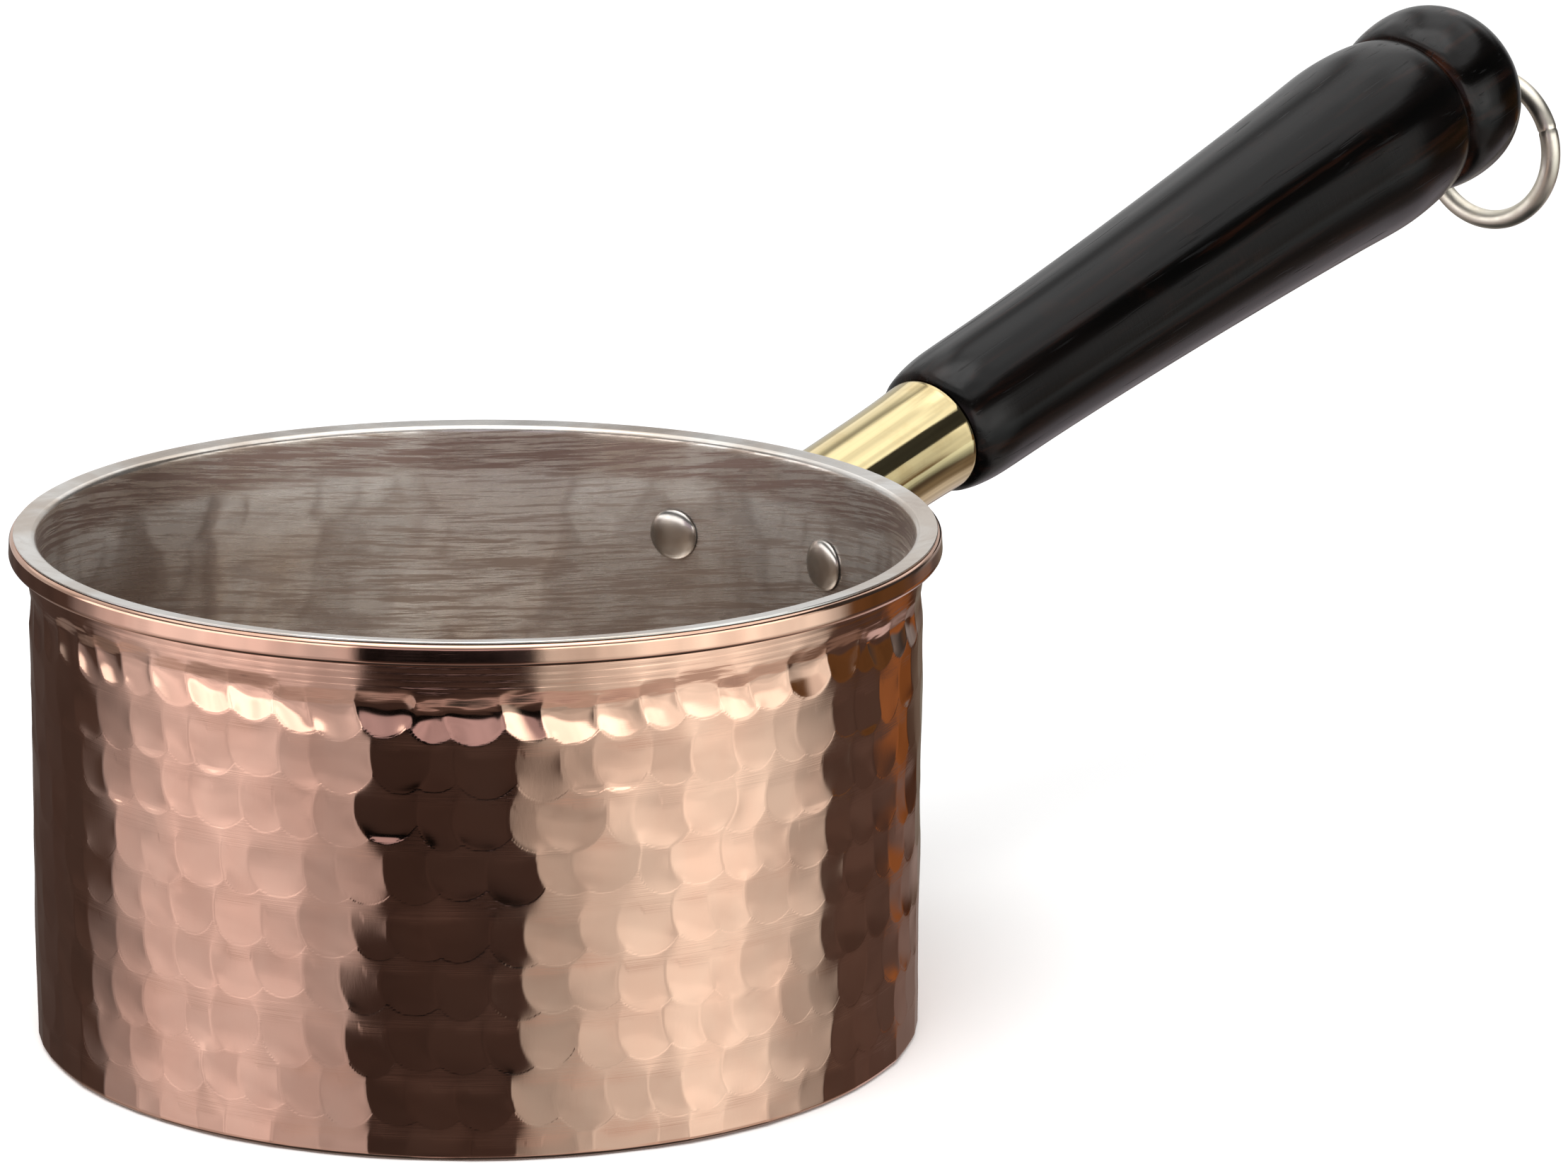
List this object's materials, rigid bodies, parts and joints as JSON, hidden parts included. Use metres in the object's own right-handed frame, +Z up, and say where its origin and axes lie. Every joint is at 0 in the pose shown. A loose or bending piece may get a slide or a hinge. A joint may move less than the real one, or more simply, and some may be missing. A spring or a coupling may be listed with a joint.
{
  "type": "lidless copper coffee pot",
  "caption": "Wide straight-sided hammered copper coffee pot with a tin-lined inside, a riveted bracket, a turned wooden handle in a brass ferrule, and a ring to hang it by.",
  "frame": {"origin": "centre of the flat underside of the base", "axes": "+Z up along the pot's axis; the handle leans out and up towards +X; +Y completes the right-handed frame"},
  "size_m": [0.3649, 0.1472, 0.1307],
  "materials": {
    "copper": "polished copper, hammered on the wall, with a smooth band below the rim",
    "tin": "hot-wiped tin, satin, streaked by wiping",
    "steel": "bright drawn steel",
    "brass": "polished yellow brass",
    "pale_brass": "polished pale brass",
    "ebonised_wood": "near-black, oiled, satin, with fine open pores"
  },
  "bodies": {
    "pot": {"copper_body": "copper", "tin_lining": "tin", "rim_wire": "steel", "handle_bracket": "brass", "rivet_left": "copper", "rivet_right": "copper", "rivet_lower": "copper", "ferrule": "brass", "wooden_handle": "ebonised_wood", "threaded_insert": "brass", "handle_stud": "steel", "screw_eye": "pale_brass"},
    "ring": {"hanging_ring": "pale_brass"}
  },
  "joints": [
    {"name": "ring_swing", "type": "hinge", "parent": "pot", "child": "ring", "pos_m": [0.28657, 0, 0.11477], "axis": [0, -1, 0], "range_deg": [-40, 226]}
  ]
}
